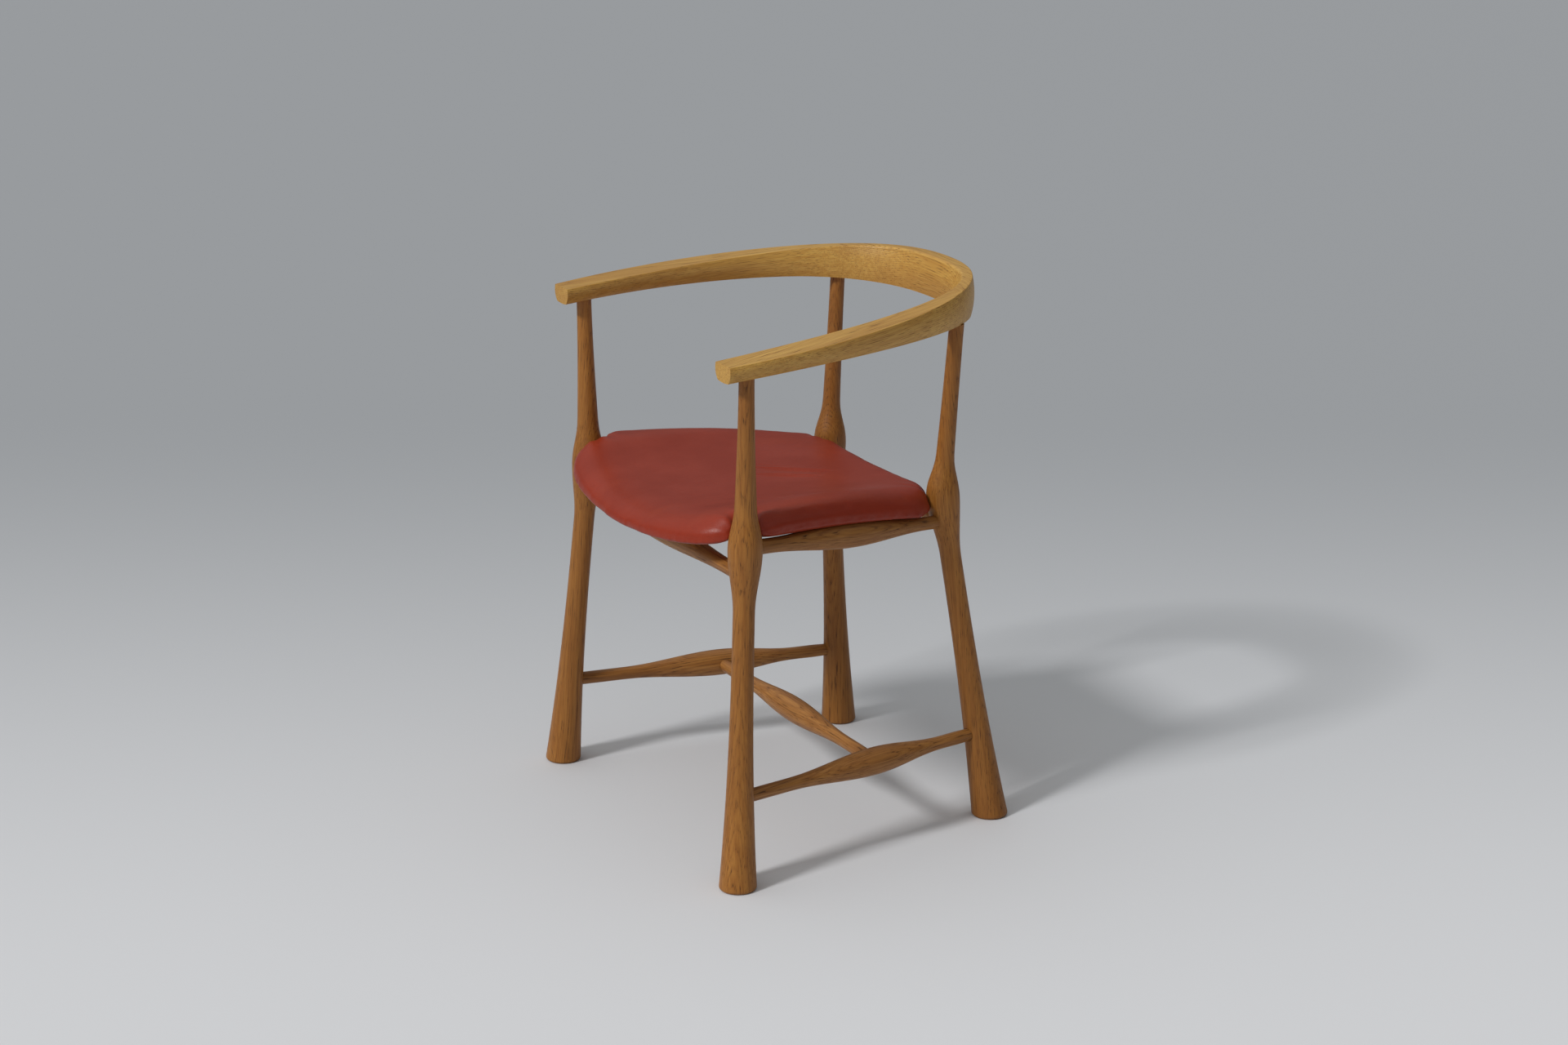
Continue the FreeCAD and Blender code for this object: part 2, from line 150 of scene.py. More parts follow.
class Graph:
    """Adds nodes to one shader tree and wires them."""

    def __init__(self, tree: bpy.types.NodeTree) -> None:
        """Keeps the tree that the nodes go into.

        Args:
            tree: Shader tree to fill.
        """
        self.tree = tree

    def add(self, kind: str, inputs: dict[Any, Any] | None = None, **settings: Any) -> bpy.types.Node:
        """Adds a node, sets its options and fills its inputs.

        Args:
            kind: Blender's type name of the node.
            inputs: Socket name or number to a value, or to an output socket to wire.
            settings: Options of the node itself.

        Returns:
            The new node.
        """
        node = self.tree.nodes.new(kind)
        for name, value in settings.items():
            setattr(node, name, value)
        for key, value in (inputs or {}).items():
            self.feed(node.inputs[key], value)
        return node

    def feed(self, socket: bpy.types.NodeSocket, value: Any) -> None:
        """Wires an output socket to an input, or sets the input's value.

        Args:
            socket: Input to feed.
            value: Output socket, or a plain value.
        """
        if isinstance(value, bpy.types.NodeSocket):
            self.tree.links.new(value, socket)
        else:
            socket.default_value = value

    def math(self, operation: str, first: Any, second: Any = 0.0) -> bpy.types.NodeSocket:
        """Adds one sum of two values.

        Args:
            operation: Name of the operation.
            first: First value or socket.
            second: Second value or socket.

        Returns:
            The result's socket.
        """
        return self.add("ShaderNodeMath", {0: first, 1: second}, operation=operation).outputs[0]

    def span(self, value: Any, low: float, high: float, start: float = 0.0,
             end: float = 1.0) -> bpy.types.NodeSocket:
        """Maps a value smoothly from one range to another.

        Args:
            value: Value or socket to map.
            low: Value that becomes start.
            high: Value that becomes end.
            start: Result at low.
            end: Result at high.

        Returns:
            The mapped value's socket.
        """
        inputs = {"Value": value, "From Min": low, "From Max": high, "To Min": start, "To Max": end}
        return self.add("ShaderNodeMapRange", inputs, interpolation_type="SMOOTHSTEP").outputs[0]

    def scaled(self, vector: Any, factors: Point) -> bpy.types.NodeSocket:
        """Multiplies a vector by three factors.

        Args:
            vector: Vector's socket.
            factors: Factor of each axis.

        Returns:
            The scaled vector's socket.
        """
        return self.vectors("MULTIPLY", vector, factors).outputs[0]

    def vectors(self, operation: str, first: Any, second: Any = (0.0, 0.0, 0.0)) -> bpy.types.Node:
        """Adds one sum of two vectors.

        Args:
            operation: Name of the operation.
            first: First vector or socket.
            second: Second vector or socket.

        Returns:
            The new node.
        """
        return self.add("ShaderNodeVectorMath", {0: first, 1: second}, operation=operation)

    def noise(self, vector: Any, detail: float = 2.0, scale: float = 1.0) -> bpy.types.Node:
        """Adds a cloud-like noise over a vector.

        Args:
            vector: Vector's socket.
            detail: Number of finer layers.
            scale: Scale of the largest clouds.

        Returns:
            The new node.
        """
        inputs = {"Vector": vector, "Scale": scale, "Detail": detail, "Roughness": 0.55}
        return self.add("ShaderNodeTexNoise", inputs)

    def clouds(self, vector: Any, factors: Point, detail: float, low: float,
               high: float) -> bpy.types.NodeSocket:
        """Draws patches of noise that run from 0 to 1.

        Args:
            vector: Vector's socket.
            factors: Scale of the noise along each axis.
            detail: Number of finer layers.
            low: Noise that becomes 0.
            high: Noise that becomes 1.

        Returns:
            The patches' socket.
        """
        return self.span(self.noise(self.scaled(vector, factors), detail).outputs[0], low, high)

    def mix(self, share: Any, first: Any, second: Any) -> bpy.types.NodeSocket:
        """Mixes two colours.

        Args:
            share: Share of the second colour.
            first: First colour or socket.
            second: Second colour or socket.

        Returns:
            The mixed colour's socket.
        """
        return self.add("ShaderNodeMix", {0: share, 6: first, 7: second}, data_type="RGBA").outputs[2]

    def toward(self, mask: Any, strength: Any, first: Any, second: Any) -> bpy.types.NodeSocket:
        """Mixes a second colour over a first one where a mask is strong.

        Args:
            mask: Socket of the mask.
            strength: Most that the second colour covers.
            first: First colour or socket.
            second: Second colour or socket.

        Returns:
            The mixed colour's socket.
        """
        return self.mix(self.math("MULTIPLY", mask, strength), first, second)

    def raised(self, value: Any, mask: Any, strength: float) -> bpy.types.NodeSocket:
        """Adds a share of a mask to a value.

        Args:
            value: Value or socket.
            mask: Socket of the mask.
            strength: Share of the mask that is added.

        Returns:
            The raised value's socket.
        """
        return self.math("ADD", value, self.math("MULTIPLY", mask, strength))


class Effect:
    """A shader node group that is built once and placed in many materials."""

    name = "effect"
    sockets_in: tuple[tuple[str, str], ...] = ()
    sockets_out: tuple[tuple[str, str], ...] = (
        ("Color", "NodeSocketColor"), ("Roughness", "NodeSocketFloat"), ("Height", "NodeSocketFloat"))

    def tree(self) -> bpy.types.NodeTree:
        """Finds the group's tree, or builds it the first time.

        Returns:
            The group's tree.
        """
        found = bpy.data.node_groups.get(self.name)
        if found:
            return found
        tree = bpy.data.node_groups.new(self.name, "ShaderNodeTree")
        for label, kind in self.sockets_in:
            tree.interface.new_socket(label, in_out="INPUT", socket_type=kind)
        for label, kind in self.sockets_out:
            tree.interface.new_socket(label, in_out="OUTPUT", socket_type=kind)
        graph = Graph(tree)
        given = graph.add("NodeGroupInput").outputs
        results = self.draw(graph, given)
        graph.add("NodeGroupOutput", results)
        return tree

    def draw(self, graph: Graph, given: Any) -> dict[str, Any]:
        """Draws the group's nodes.

        Args:
            graph: Graph of the group's tree.
            given: Sockets of the group's inputs.

        Returns:
            Output name to the socket that feeds it.
        """
        raise NotImplementedError


class OakFigure(Effect):
    """Growth rings, pores and fibres of oak, with the grain along the vector's third axis."""

    name = "oak_figure"
    sockets_in = (
        ("Vector", "NodeSocketVector"), ("Ring Width", "NodeSocketFloat"), ("Pale", "NodeSocketColor"),
        ("Honey", "NodeSocketColor"), ("Brown", "NodeSocketColor"), ("Pore", "NodeSocketColor"),
        ("Figure", "NodeSocketFloat"), ("Gloss", "NodeSocketFloat"))

    def draw(self, graph: Graph, given: Any) -> dict[str, Any]:
        """Draws rings round a wavy pith line, with open pores at the start of each ring.

        Args:
            graph: Graph of the group's tree.
            given: Sockets of the group's inputs.

        Returns:
            Output name to the socket that feeds it.
        """
        place = given["Vector"]
        wave = graph.noise(graph.scaled(place, (9.0, 9.0, 2.4)), 2.0)
        lean = graph.vectors("SUBTRACT", wave.outputs["Color"], (0.5, 0.5, 0.5)).outputs[0]
        bent = graph.vectors("ADD", graph.scaled(lean, (0.022, 0.022, 0.0)), place).outputs[0]
        radius = graph.vectors("LENGTH", graph.scaled(bent, (1.0, 1.0, 0.0))).outputs[1]
        turn = graph.math("DIVIDE", radius, given["Ring Width"])
        uneven = graph.noise(graph.scaled(place, (38.0, 38.0, 3.0)), 1.0).outputs[0]
        ring = graph.math("FRACT", graph.raised(turn, uneven, 0.9))
        early = graph.span(ring, 0.0, 0.5, 1.0, 0.0)
        late = graph.span(ring, 0.78, 1.0)
        dashes = graph.clouds(place, (950.0, 950.0, 34.0), 1.0, 0.53, 0.66)
        pores = graph.math("MULTIPLY", dashes, graph.raised(0.2, early, 0.8))
        fibres = graph.clouds(place, (330.0, 330.0, 6.0), 3.0, 0.32, 0.68)
        patches = graph.clouds(place, (16.0, 16.0, 3.2), 2.0, 0.33, 0.67)
        body = graph.mix(fibres, given["Honey"], given["Pale"])
        body = graph.toward(patches, 0.42, body, given["Brown"])
        body = graph.toward(early, given["Figure"], body, given["Brown"])
        body = graph.toward(late, graph.math("MULTIPLY", given["Figure"], 0.45), body, given["Brown"])
        body = graph.toward(pores, 0.85, body, given["Pore"])
        rough = graph.raised(given["Gloss"], pores, 0.22)
        rough = graph.raised(rough, patches, 0.06)
        height = graph.math("SUBTRACT", graph.math("MULTIPLY", fibres, 0.2), pores)
        height = graph.math("SUBTRACT", height, graph.math("MULTIPLY", early, 0.25))
        return {"Color": body, "Roughness": rough, "Height": height}


class HideGrain(Effect):
    """Fine pebble, soft mottling and faint scuffs of smooth leather."""

    name = "hide_grain"
    sockets_in = (
        ("Vector", "NodeSocketVector"), ("Colour", "NodeSocketColor"), ("Deep", "NodeSocketColor"),
        ("Worn", "NodeSocketColor"), ("Gloss", "NodeSocketFloat"))

    def draw(self, graph: Graph, given: Any) -> dict[str, Any]:
        """Draws the pebble as cells and the mottling as clouds.

        Args:
            graph: Graph of the group's tree.
            given: Sockets of the group's inputs.

        Returns:
            Output name to the socket that feeds it.
        """
        place = given["Vector"]
        cells = graph.add("ShaderNodeTexVoronoi", {"Vector": place, "Scale": 820.0, "Randomness": 1.0})
        pebble = graph.span(cells.outputs[0], 0.1, 0.75)
        clouds = graph.clouds(place, (13.0, 9.0, 13.0), 4.0, 0.35, 0.68)
        specks = graph.span(graph.noise(place, 2.0, 240.0).outputs[0], 0.42, 0.72)
        scuffs = graph.clouds(place, (22.0, 4.5, 22.0), 5.0, 0.56, 0.76)
        body = graph.toward(clouds, 0.5, given["Colour"], given["Deep"])
        body = graph.toward(specks, 0.22, body, given["Deep"])
        body = graph.toward(scuffs, 0.35, body, given["Worn"])
        body = graph.toward(pebble, 0.25, body, given["Deep"])
        rough = graph.raised(given["Gloss"], clouds, 0.07)
        rough = graph.raised(rough, scuffs, 0.06)
        height = graph.math("SUBTRACT", graph.math("MULTIPLY", specks, 0.3), pebble)
        return {"Color": body, "Roughness": rough, "Height": height}


class BrushedTone(Effect):
    """Fine tone changes of plain turned steel."""

    name = "brushed_tone"
    sockets_in = (
        ("Vector", "NodeSocketVector"), ("Colour", "NodeSocketColor"), ("Shade", "NodeSocketColor"),
        ("Fineness", "NodeSocketFloat"), ("Gloss", "NodeSocketFloat"))

    def draw(self, graph: Graph, given: Any) -> dict[str, Any]:
        """Draws clouds of the shade over the colour.

        Args:
            graph: Graph of the group's tree.
            given: Sockets of the group's inputs.

        Returns:
            Output name to the socket that feeds it.
        """
        inputs = {"Vector": given["Vector"], "Scale": given["Fineness"], "Detail": 4.0}
        clouds = graph.add("ShaderNodeTexNoise", inputs)
        share = graph.span(clouds.outputs[0], 0.3, 0.7)
        body = graph.mix(share, given["Colour"], given["Shade"])
        rough = graph.raised(given["Gloss"], share, 0.1)
        return {"Color": body, "Roughness": rough, "Height": share}


class PaintedFalloff(Effect):
    """Painted light falloff: a colour that changes evenly along the vector's second axis, with faint clouds.
    """

    name = "painted_falloff"
    near_place = -0.9
    far_place = 1.9
    sockets_in = (
        ("Vector", "NodeSocketVector"), ("Near", "NodeSocketColor"), ("Far", "NodeSocketColor"),
        ("Gloss", "NodeSocketFloat"))

    def draw(self, graph: Graph, given: Any) -> dict[str, Any]:
        """Draws the painted falloff, from the lit colour at the near place to the painted shade at the far
        place, both in metres from the chair.

        Args:
            graph: Graph of the group's tree.
            given: Sockets of the group's inputs.

        Returns:
            Output name to the socket that feeds it.
        """
        place = graph.add("ShaderNodeSeparateXYZ", {0: given["Vector"]}).outputs[1]
        # Painted shade: the colour darkens from the near place to the far place, in place of the lamp's light
        # dying away.
        share = graph.span(place, self.near_place, self.far_place)
        clouds = graph.span(graph.noise(given["Vector"], 3.0, 3.0).outputs[0], 0.3, 0.7, 0.97, 1.0)
        body = graph.mix(share, given["Near"], given["Far"])
        rough = graph.math("MULTIPLY", given["Gloss"], clouds)
        return {"Color": body, "Roughness": rough, "Height": clouds}


@dataclass(frozen=True)
class Surface:
    """Plain shader values of a finish.

    Attributes:
        bump: Strength of the bump.
        depth: Depth of the bump in metres.
        specular: Specular level.
        metallic: 1 for metal.
    """

    bump: float = 0.3
    depth: float = 0.0004
    specular: float = 0.5
    metallic: float = 0.0

    def material(self, name: str, effect: Effect, values: dict[str, Any], turn: Point = (0.0, 0.0, 0.0),
                 move: Point = (0.0, 0.0, 0.0)) -> bpy.types.Material:
        """Makes a material from an effect.

        Args:
            name: Name of the material.
            effect: Effect that gives colour, roughness and height.
            values: Values of the effect's inputs.
            turn: Turn of the coordinates, in radians.
            move: Step of the coordinates, in metres.

        Returns:
            The new material.
        """
        made = bpy.data.materials.new(name)
        made.use_nodes = True
        made.node_tree.nodes.clear()
        graph = Graph(made.node_tree)
        place = graph.add("ShaderNodeTexCoord").outputs["Object"]
        moved = graph.add("ShaderNodeMapping", {"Vector": place, "Rotation": turn, "Location": move})
        group = graph.add("ShaderNodeGroup", node_tree=effect.tree())
        graph.feed(group.inputs["Vector"], moved.outputs[0])
        for label, value in values.items():
            graph.feed(group.inputs[label], value)
        bump = graph.add("ShaderNodeBump", {
            "Height": group.outputs["Height"], "Strength": self.bump, "Distance": self.depth})
        shader = graph.add("ShaderNodeBsdfPrincipled", {
            "Base Color": group.outputs["Color"], "Roughness": group.outputs["Roughness"],
            "Normal": bump.outputs[0], "Specular IOR Level": self.specular, "Metallic": self.metallic})
        graph.add("ShaderNodeOutputMaterial", {"Surface": shader.outputs[0]})
        return made


@dataclass(frozen=True)
class OakFinish:
    """Oiled oak in one tone.

    Attributes:
        pale: Colour of the light fibres.
        honey: Main colour.
        brown: Colour of the porous start of a ring.
        pore: Colour of the open pores.
        ring_width: Width of a growth ring in metres.
        figure: How strongly the rings show.
        gloss: Roughness of the smooth wood.
    """

    pale: Colour
    honey: Colour
    brown: Colour
    pore: Colour
    ring_width: float = 0.0023
    figure: float = 0.28
    gloss: float = 0.40

    def on(self, piece: bpy.types.Object, along: Vector, heart: tuple[float, float], shift: float) -> None:
        """Gives a piece this oak, with its own place in the trunk.

        Args:
            piece: Piece to dress.
            along: Direction of the grain.
            heart: Where the middle of the piece lies from the pith, in metres.
            shift: Step along the trunk, in metres, so that no two pieces match.
        """
        turn = along.normalized().rotation_difference(Vector((0.0, 0.0, 1.0)))
        corners = [Vector(corner) for corner in piece.bound_box]
        middle = sum(corners, Vector()) / len(corners)
        move = Vector((heart[0], heart[1], shift)) - turn @ middle
        surface = Surface(bump=0.35, depth=0.0005, specular=0.3)
        values = {
            "Ring Width": self.ring_width, "Pale": self.pale, "Honey": self.honey, "Brown": self.brown,
            "Pore": self.pore, "Figure": self.figure, "Gloss": self.gloss}
        angles = tuple(turn.to_euler())
        dress(piece, surface.material("oak_" + piece.name, OakFigure(), values, angles, tuple(move)))


@dataclass(frozen=True)
class LeatherFinish:
    """Smooth red-brown leather with a soft gloss.

    Attributes:
        colour: Main colour.
        deep: Colour in the pebble's hollows and darker clouds.
        worn: Colour of light scuffs.
        gloss: Roughness of the smooth leather.
    """

    colour: Colour
    deep: Colour
    worn: Colour
    gloss: float = 0.36

    def on(self, piece: bpy.types.Object) -> None:
        """Gives a piece this leather.

        Args:
            piece: Piece to dress.
        """
        surface = Surface(bump=0.22, depth=0.0003, specular=0.28)
        values = {"Colour": self.colour, "Deep": self.deep, "Worn": self.worn, "Gloss": self.gloss}
        dress(piece, surface.material("red_brown_leather", HideGrain(), values))


@dataclass(frozen=True)
class ToneFinish:
    """A plain finish with fine tone changes, for steel.

    Attributes:
        name: Name of the material.
        colour: Main colour.
        shade: Second colour.
        fineness: Scale of the clouds.
        gloss: Roughness.
        metallic: 1 for metal.
    """

    name: str
    colour: Colour
    shade: Colour
    fineness: float
    gloss: float
    metallic: float = 0.0

    def on(self, piece: bpy.types.Object) -> None:
        """Gives a piece this finish.

        Args:
            piece: Piece to dress.
        """
        surface = Surface(bump=0.05, depth=0.0002, metallic=self.metallic)
        values = {
            "Colour": self.colour, "Shade": self.shade, "Fineness": self.fineness, "Gloss": self.gloss}
        dress(piece, surface.material(self.name, BrushedTone(), values))


@dataclass(frozen=True)
class PaintedFalloffFloor:
    """Matt pale floor with painted light falloff: its colour is graded to grey behind the chair.

    Attributes:
        near: Painted lit colour in front.
        far: Painted shaded colour behind.
        heading: Direction in which the painted shade darkens it, as a turn about the upright axis in degrees.
        gloss: Roughness.
    """

    near: Colour
    far: Colour
    heading: float = VIEW_YAW
    gloss: float = 0.85

    def on(self, piece: bpy.types.Object) -> None:
        """Gives a piece this floor colour, with its painted shade.

        Args:
            piece: Piece to dress.
        """
        surface = Surface(bump=0.05, depth=0.0002, specular=0.2)
        values = {"Near": self.near, "Far": self.far, "Gloss": self.gloss}
        # The painted shade runs along the camera's heading.
        turn = (0.0, 0.0, -math.radians(self.heading))
        dress(piece, surface.material("pale_floor_painted_falloff", PaintedFalloff(), values, turn))


def dress(piece: bpy.types.Object, made: bpy.types.Material) -> None:
    """Puts one material in all of a piece's slots.

    Args:
        piece: Piece to dress.
        made: Material to put on.
    """
    if not piece.data.materials:
        piece.data.materials.append(made)
    for number in range(len(piece.data.materials)):
        piece.data.materials[number] = made


def link(name: str, mesh: bpy.types.Mesh) -> bpy.types.Object:
    """Puts a mesh into the scene as an object.

    Args:
        name: Name of the object.
        mesh: Mesh to show.

    Returns:
        The new object.
    """
    made = bpy.data.objects.new(name, mesh)
    bpy.context.scene.collection.objects.link(made)
    return made


def apply_modifiers(piece: bpy.types.Object) -> None:
    """Turns a piece's modifiers into its own mesh.

    Args:
        piece: Piece whose modifiers are applied.
    """
    bpy.context.view_layer.update()
    seen = piece.evaluated_get(bpy.context.evaluated_depsgraph_get())
    old = piece.data
    piece.data = bpy.data.meshes.new_from_object(seen)
    piece.modifiers.clear()
    bpy.data.meshes.remove(old)


class Finish(Enum):
    """The chair's finishes."""

    LEG_OAK = OakFinish(pale=screen_colour(170, 114, 50), honey=screen_colour(150, 95, 38),
                        brown=screen_colour(120, 72, 28), pore=screen_colour(70, 40, 16))
    BOW_OAK = OakFinish(pale=screen_colour(208, 164, 84), honey=screen_colour(190, 142, 68),
                        brown=screen_colour(160, 110, 50), pore=screen_colour(104, 66, 30), gloss=0.36)
    ROD_OAK = OakFinish(pale=screen_colour(176, 122, 62), honey=screen_colour(150, 98, 46),
                        brown=screen_colour(116, 70, 32), pore=screen_colour(66, 38, 18),
                        ring_width=0.0024, figure=0.4)
    BOARD = OakFinish(pale=screen_colour(214, 190, 150), honey=screen_colour(200, 172, 130),
                      brown=screen_colour(172, 138, 98), pore=screen_colour(140, 108, 74),
                      figure=0.3, gloss=0.6)
    LEATHER = LeatherFinish(colour=screen_colour(150, 50, 27), deep=screen_colour(127, 39, 21),
                            worn=screen_colour(160, 66, 41))
    STEEL = ToneFinish(name="screw_steel", colour=screen_colour(176, 176, 172),
                       shade=screen_colour(140, 140, 138), fineness=400.0, gloss=0.32, metallic=1.0)
    # Floor: painted lit colour in front and painted shade behind, in place of the light's falloff.
    FLOOR = PaintedFalloffFloor(near=screen_colour(225, 225, 227), far=screen_colour(166, 168, 171))


@dataclass
class OakFrame:
    """Legs, rods and bow of oak: the solids of the frame with their own cuts of wood.

    Attributes:
        nodes: Name to object of every solid.
    """

    nodes: dict[str, bpy.types.Object]

    def dress_all(self) -> None:
        """Dresses every oak piece along its own grain."""
        cuts: list[tuple[str, Finish, Vector, tuple[float, float], float]] = [
            ("front_left_leg", Finish.LEG_OAK, Vector((0.04, 0.05, 1.0)), (0.060, 0.031), 0.0),
            ("front_right_leg", Finish.LEG_OAK, Vector((-0.04, 0.05, 1.0)), (-0.052, 0.044), 0.7),
            ("rear_left_leg", Finish.LEG_OAK, Vector((0.07, -0.05, 1.0)), (0.040, -0.058), 1.5),
            ("rear_right_leg", Finish.LEG_OAK, Vector((-0.07, -0.05, 1.0)), (-0.066, -0.024), 2.2),
            ("left_arm", Finish.BOW_OAK, Vector((0.25, 1.0, 0.08)), (0.035, 0.110), 3.1),
            ("right_arm", Finish.BOW_OAK, Vector((-0.25, 1.0, 0.08)), (-0.048, 0.095), 4.0),
            ("back_rail", Finish.BOW_OAK, Vector((1.0, 0.0, 0.0)), (0.120, 0.040), 4.9),
            ("left_stretcher", Finish.ROD_OAK, Vector((0.17, 1.0, 0.0)), (0.030, 0.012), 5.6),
            ("right_stretcher", Finish.ROD_OAK, Vector((-0.17, 1.0, 0.0)), (-0.027, 0.009), 6.2),
            ("cross_stretcher", Finish.ROD_OAK, Vector((1.0, 0.0, 0.0)), (0.031, 0.018), 6.9),
            ("left_rail", Finish.ROD_OAK, Vector((0.2, 1.0, -0.1)), (0.034, -0.016), 7.5),
            ("right_rail", Finish.ROD_OAK, Vector((-0.2, 1.0, -0.1)), (-0.036, 0.014), 8.1),
            ("front_rail", Finish.ROD_OAK, Vector((1.0, 0.0, 0.0)), (0.022, 0.030), 8.8),
            ("rear_rail", Finish.ROD_OAK, Vector((1.0, 0.0, 0.0)), (0.030, -0.020), 9.4),
            ("seat_board", Finish.BOARD, Vector((-1.0, 0.0, 0.0)), (0.150, 0.100), 10.0),
        ]
        for name, finish, along, heart, shift in cuts:
            finish.value.on(self.nodes[name], along, heart, shift)
            LOG.info("dressed %s", name)
        Finish.STEEL.value.on(self.nodes["seat_screws"])
        LOG.info("dressed seat_screws")


@dataclass
class SeatPad:
    """The padded leather seat: a saddle spread like a fan, drawn in round the four knees.

    Attributes:
        fan_y: Distance behind the origin of the point that the seat's sides aim at.
        half_angle: Half of the seat's spread, in radians.
        front_y: Front edge at the middle.
        rear_y: Rear edge at the middle.
        front_sweep: How far the front edge falls back at the sides.
        front_corner: How far the front corners are rounded off.
        rear_sweep: How far the rear edge comes forward at the sides.
        rear_corner: How far the rear corners are rounded off.
        top_z: Height of the top at the front, halfway back and at the rear, each with its side rise.
        low_z: The same for the underside.
        edge_share: Share of the thickness that is left at the very edge.
        side_roll: How far in the top rolls over at the sides, at the front and at the rear.
        roll_change: How soon that changes from front to rear.
        side_bevel: Power of the straighter part of the roll at the sides.
        bevel_share: Share of that straighter part.
        front_roll: How far in the top falls away to the front edge.
        corner_roll: Share of that fall that is left at the front corners.
        rear_roll: How far in the top rolls over at the rear edge.
        low_roll: How far in the underside rolls up.
        low_lift: How much of the edge's thickness the underside rises there.
        start_inset: How much smaller the pad is before it swells.
        swell: Most that a point may move as the pad swells.
        under_swell: Share of that for points that face down.
        under_facing: Upward part of the normal below which a point faces down.
        voxel: Size of the even faces that swell.
        notch: Radius of the notches round the knees.
        knee_roll: How far the top rolls over at the notches.
        knee_share: Share of the top's height that is left at the notches.
        knees: Places of the knees on the right.
        knee_lift: How far out the underside is drawn up round the front knees.
        pleat: Height of the small pleats that fan out from the knees.
        pleat_reach: How far out from a notch the pleats die away.
        pleat_count: Number of pleats in a full turn.
        creases: Ends in plan and depth of each stretch crease.
        crease_width: Width of a stretch crease.
        crease_bend: How far a stretch crease wanders.
        crease_facing: Upward part of the normal from which the leather is creased.
        window: How far in the open underside starts.
        window_depth: Depth of the open underside.
        wood_gap: Room between the pad and the oak that it touches.
        columns: Faces across the pad before it swells.
        rows: Faces along the pad before it swells.
        first_softening: Number of softening rounds before the pad swells.
        last_softening: Number of softening rounds after it has swollen.
        pressure: Pressure of the cloth that swells.
        frames: Number of steps in which it swells.
    """

    fan_y: float = 1.0385
    half_angle: float = math.radians(10.76)
    front_y: float = -0.2475
    rear_y: float = 0.1415
    front_sweep: float = 0.014
    front_corner: float = 0.078
    rear_sweep: float = 0.004
    rear_corner: float = 0.056
    top_z: Pairs = ((0.4445, 0.048), (0.4450, 0.032), (0.4405, -0.001))
    low_z: Pairs = ((0.4165, 0.028), (0.4170, 0.017), (0.4100, 0.005))
    edge_share: float = 0.25
    side_roll: tuple[float, float] = (0.066, 0.044)
    roll_change: float = 1.4
    side_bevel: float = 1.6
    bevel_share: float = 0.5
    front_roll: float = 0.065
    corner_roll: float = 0.35
    rear_roll: float = 0.022
    low_roll: float = 0.009
    low_lift: float = 0.6
    start_inset: float = -0.0015
    swell: float = 0.0030
    under_swell: float = 0.15
    under_facing: float = -0.35
    voxel: float = 0.0036
    notch: float = 0.0200
    knee_roll: float = 0.022
    knee_share: float = 0.55
    knees: Pairs = ((0.2185, -0.1765), (0.1455, 0.1505))
    knee_lift: float = 0.030
    pleat: float = 0.0022
    pleat_reach: float = 0.014
    pleat_count: int = 11
    creases: tuple[tuple[Point, Point, float], ...] = (
        ((-0.034, -0.032, 0.0), (0.021, 0.066, 0.0), 0.0034),
        ((-0.010, -0.045, 0.0), (0.037, 0.039, 0.0), 0.0029),
        ((-0.052, -0.040, 0.0), (-0.018, 0.022, 0.0), 0.0006))
    crease_width: float = 0.0027
    crease_bend: float = 0.002
    crease_facing: float = 0.2
    window: float = 0.034
    window_depth: float = 0.0042
    wood_gap: float = 0.0006
    columns: int = 128
    rows: int = 160
    first_softening: int = 5
    last_softening: int = 12
    pressure: float = 4.0
    frames: int = 20

    def edges(self, across: float) -> tuple[float, float]:
        """Works out where the front and rear edges lie.

        Args:
            across: Place across the seat, from -1 to 1.

        Returns:
            Distances of the two edges from the point that the sides aim at.
        """
        front = self.fan_y - self.front_y - self.front_sweep * across ** 2 - self.front_corner * across ** 8
        rear = self.fan_y - self.rear_y + self.rear_sweep * across ** 2 + self.rear_corner * across ** 8
        return front, rear

    def height(self, layer: Pairs, across: float, back: float) -> float:
        """Height of the top or of the underside.

        Args:
            layer: Heights and rises at the front, halfway back and at the rear.
            across: Place across the seat, from -1 to 1.
            back: Place from the front edge, 0, to the rear edge, 1.

        Returns:
            The height in metres.
        """
        front, middle, rear = (level + rise * across ** 2 for level, rise in layer)
        ahead = 1 - back
        return front * ahead * (1 - 2 * back) + middle * 4 * back * ahead + rear * back * (2 * back - 1)

    def from_knees(self, spot: Vector) -> list[Vector]:
        """Finds the steps in plan to a place from the front and the rear knee on its own side.

        Args:
            spot: Place in plan.

        Returns:
            The two steps.
        """
        return [Vector((spot.x - math.copysign(x, spot.x), spot.y - y, 0.0)) for x, y in self.knees]

    def cleared(self, spot: Vector) -> Vector:
        """Moves a place out of the notches round the knees.

        Args:
            spot: Place in plan.

        Returns:
            The place, or the nearest one on the rim of a notch.
        """
        for step in self.from_knees(spot):
            if step.length < self.notch:
                spot = spot + step.normalized() * (self.notch - step.length)
        return spot

